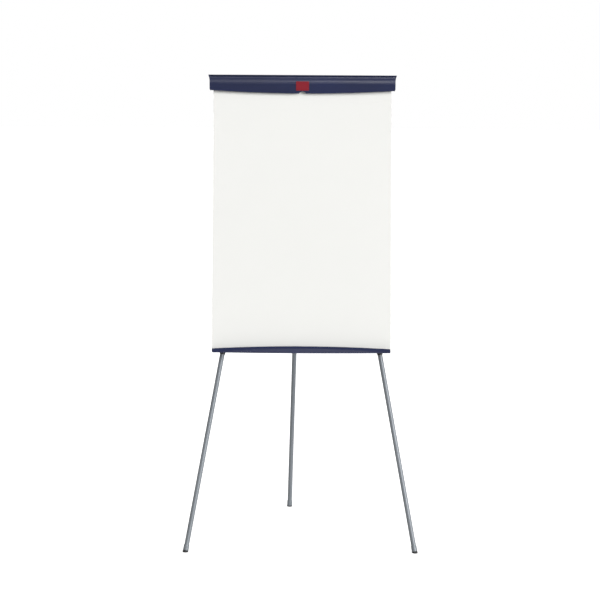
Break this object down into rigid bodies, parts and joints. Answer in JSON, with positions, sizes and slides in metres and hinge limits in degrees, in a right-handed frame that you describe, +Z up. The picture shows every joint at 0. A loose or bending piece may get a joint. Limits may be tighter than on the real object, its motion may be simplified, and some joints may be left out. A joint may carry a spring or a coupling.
{
  "type": "flipchart easel",
  "caption": "Free-standing flipchart easel: dry-wipe board with a sprung clamp bar and pad pegs, pen tray, and tripod legs that fold, swing and telescope.",
  "frame": {"origin": "on the floor, in the middle of the rectangle round the three feet and everything above them", "axes": "+Z up, -Y towards the writer, +X to the right as the writer sees it"},
  "size_m": [0.8933, 0.7674, 1.8008],
  "materials": {
    "board_white": "gloss",
    "board_core": "matte",
    "backing": "matte",
    "white_trim": "satin",
    "zinc_sheet": "satin",
    "rail": "satin",
    "fastener": "satin",
    "spring_steel": "satin",
    "navy_plastic": "satin",
    "badge_red": "satin",
    "black_plastic": "matte",
    "rubber_black": "matte",
    "leg_paint": "satin"
  },
  "bodies": {
    "board": {"writing_surface": "board_white", "board_core": "board_core", "board_backing": "backing", "edge_trims": "white_trim", "joining_strip": "zinc_sheet", "strip_screws": "fastener", "clamp_rail": "rail", "rail_end_plugs": "black_plastic", "rail_rivets": "fastener", "clamp_hinge_rod": "fastener", "clamp_springs": "spring_steel", "pen_tray": "navy_plastic", "tray_end_caps": "navy_plastic", "tray_screws": "fastener", "leg_bracket": "leg_paint", "bracket_screws": "fastener", "pivot_washers": "fastener", "leg_pivot_bolts": "fastener", "guide_bar": "leg_paint", "guide_blocks": "black_plastic", "guide_screws": "fastener", "rear_leg_rest": "rubber_black", "rear_clevis": "leg_paint", "clevis_rivets": "fastener", "rear_pivot_pin": "fastener"},
    "clamp": {"clamp_bar": "navy_plastic", "clamp_end_caps": "navy_plastic", "grip_strip": "rubber_black", "badge": "badge_red"},
    "peg_left": {"pad_peg_left": "black_plastic"},
    "peg_right": {"pad_peg_right": "black_plastic"},
    "left_leg": {"left_knuckle": "black_plastic", "left_upper_tube": "leg_paint", "left_lock_collar": "black_plastic", "left_ferrule": "black_plastic"},
    "left_leg_lower": {"left_lower_tube": "leg_paint", "left_guide_bush": "black_plastic", "left_foot_cap": "leg_paint", "left_foot_pad": "rubber_black"},
    "left_knob": {"left_lock_knob": "black_plastic"},
    "right_leg": {"right_knuckle": "black_plastic", "right_upper_tube": "leg_paint", "right_lock_collar": "black_plastic", "right_ferrule": "black_plastic"},
    "right_leg_lower": {"right_lower_tube": "leg_paint", "right_guide_bush": "black_plastic", "right_foot_cap": "leg_paint", "right_foot_pad": "rubber_black"},
    "right_knob": {"right_lock_knob": "black_plastic"},
    "rear_leg": {"rear_knuckle": "black_plastic", "rear_upper_tube": "leg_paint", "rear_lock_collar": "black_plastic", "rear_ferrule": "black_plastic"},
    "rear_leg_lower": {"rear_lower_tube": "leg_paint", "rear_guide_bush": "black_plastic", "rear_foot_cap": "leg_paint", "rear_foot_pad": "rubber_black"},
    "rear_knob": {"rear_lock_knob": "black_plastic"}
  },
  "joints": [
    {"name": "clamp_hinge", "type": "hinge", "parent": "board", "child": "clamp", "pos_m": [0, -0.1136, 1.78744], "axis": [-1, 0, 0], "range_deg": [0, 70], "stiffness_Nm_per_rad": 2, "springref_deg": -28.65},
    {"name": "peg_left_slide", "type": "slide", "parent": "board", "child": "peg_left", "axis": [-1, 0, 0], "range_m": [0, 0.16]},
    {"name": "peg_right_slide", "type": "slide", "parent": "board", "child": "peg_right", "axis": [1, 0, 0], "range_m": [0, 0.16]},
    {"name": "left_leg_swing", "type": "hinge", "parent": "board", "child": "left_leg", "pos_m": [-0.12, -0.09837, 1.73339], "axis": [0, -0.9877, 0.1564], "range_deg": [0, 10.2]},
    {"name": "right_leg_swing", "type": "hinge", "parent": "board", "child": "right_leg", "pos_m": [0.12, -0.09837, 1.73339], "axis": [0, 0.9877, -0.1564], "range_deg": [0, 10.2]},
    {"name": "rear_leg_fold", "type": "hinge", "parent": "board", "child": "rear_leg", "pos_m": [0, -0.06479, 1.72807], "axis": [-0.9997, 0.0041, 0.0259], "range_deg": [0, 23.2]},
    {"name": "left_leg_length", "type": "slide", "parent": "left_leg", "child": "left_leg_lower", "axis": [0.1771, 0.154, 0.9721], "range_m": [0, 0.7]},
    {"name": "right_leg_length", "type": "slide", "parent": "right_leg", "child": "right_leg_lower", "axis": [-0.1771, 0.154, 0.9721], "range_m": [0, 0.7]},
    {"name": "rear_leg_length", "type": "slide", "parent": "rear_leg", "child": "rear_leg_lower", "axis": [0.0241, -0.2454, 0.9691], "range_m": [0, 0.7]},
    {"name": "left_lock_turn", "type": "hinge", "parent": "left_leg", "child": "left_knob", "pos_m": [-0.29177, -0.24771, 0.79048], "axis": [0, 0.9877, -0.1564], "range_deg": [0, 360]},
    {"name": "right_lock_turn", "type": "hinge", "parent": "right_leg", "child": "right_knob", "pos_m": [0.29177, -0.24771, 0.79048], "axis": [0, 0.9877, -0.1564], "range_deg": [0, 360]},
    {"name": "rear_lock_turn", "type": "hinge", "parent": "rear_leg", "child": "rear_knob", "pos_m": [-0.02334, 0.17321, 0.78801], "axis": [0.0103, 0.9694, 0.2452], "range_deg": [0, 360]}
  ]
}
